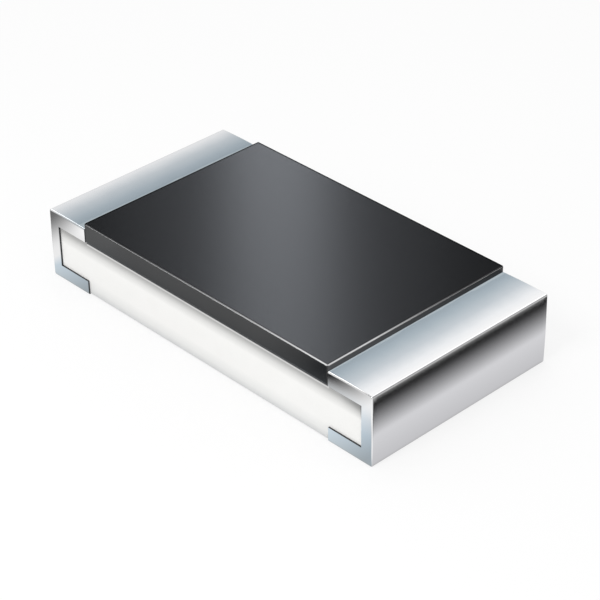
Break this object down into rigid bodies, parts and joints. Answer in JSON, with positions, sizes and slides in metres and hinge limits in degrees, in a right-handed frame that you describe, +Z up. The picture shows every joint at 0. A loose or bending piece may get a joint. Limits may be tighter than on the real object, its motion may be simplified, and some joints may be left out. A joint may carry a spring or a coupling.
{
  "type": "smd chip resistor",
  "caption": "Thick-film chip resistor: white ceramic body, glossy black top coat and a bright C-shaped solder terminal wrapped round each end.",
  "frame": {"origin": "centre of the chip's length and width, on the plane of the terminals' undersides, which is the board's surface", "axes": "+X along the chip's length from the left terminal to the right one, +Y along its width, +Z up through the black coat"},
  "size_m": [0.003, 0.0016, 0.0006],
  "materials": {
    "alumina": "fired, matt, slightly grainy",
    "silver_print": "fired silver print, matt metallic",
    "ruthenium_oxide": "fired resistive print, dark and dull",
    "glass_print": "fired glass print, glossy",
    "nickel": "plated nickel, satin",
    "tin": "bright plated tin",
    "black_coat": "glossy black resin"
  },
  "bodies": {
    "root": {"ceramic_substrate": "alumina", "top_electrode_left": "silver_print", "top_electrode_right": "silver_print", "bottom_electrode_left": "silver_print", "bottom_electrode_right": "silver_print", "side_electrode_left": "silver_print", "side_electrode_right": "silver_print", "resistive_film": "ruthenium_oxide", "glass_coat": "glass_print", "nickel_barrier_left": "nickel", "nickel_barrier_right": "nickel", "tin_plating_left": "tin", "tin_plating_right": "tin", "protective_overcoat": "black_coat"}
  },
  "joints": []
}
